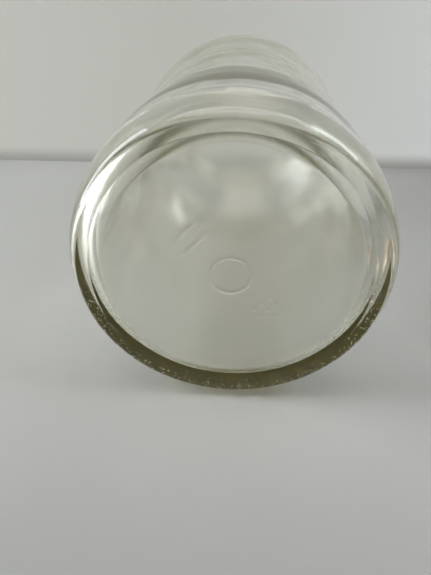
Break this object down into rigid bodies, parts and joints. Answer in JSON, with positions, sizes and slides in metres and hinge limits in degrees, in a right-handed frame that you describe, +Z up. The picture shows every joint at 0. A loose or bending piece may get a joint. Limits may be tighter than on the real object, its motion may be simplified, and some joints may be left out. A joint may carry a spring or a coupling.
{
  "type": "mason jar",
  "caption": "Screw-top glass canning jar lying on its side, with its lid and screw band taken off and laid beside it.",
  "frame": {"origin": "centre of the mouth, on the jar's axis, in the plane of the sealing rim", "axes": "+Y along the jar's axis, out of the mouth; -Y is the base; +Z up from the table that the jar lies on; the table is at z = -0.0475"},
  "size_m": [0.2192, 0.172, 0.095],
  "materials": {
    "jar_glass": "clear moulded glass with a faint olive tint where it is thick",
    "band_steel": "tin-plated steel sheet, satin",
    "lid_steel": "lacquered tin-plated steel sheet",
    "sealing_compound": "matt flowed-in sealing compound"
  },
  "bodies": {
    "jar": {"glass_jar": "jar_glass"},
    "band": {"screw_band": "band_steel"},
    "lid": {"lid_disc": "lid_steel", "sealing_compound": "sealing_compound"}
  },
  "joints": [
    {"name": "band_turn", "type": "hinge", "parent": "jar", "child": "band", "pos_m": [0.134, -0.126, -0.0475], "axis": [0, 0, 1], "continuous": true},
    {"name": "lid_lift", "type": "slide", "parent": "band", "child": "lid", "axis": [0, 0, 1], "range_m": [0, 0.03]}
  ]
}
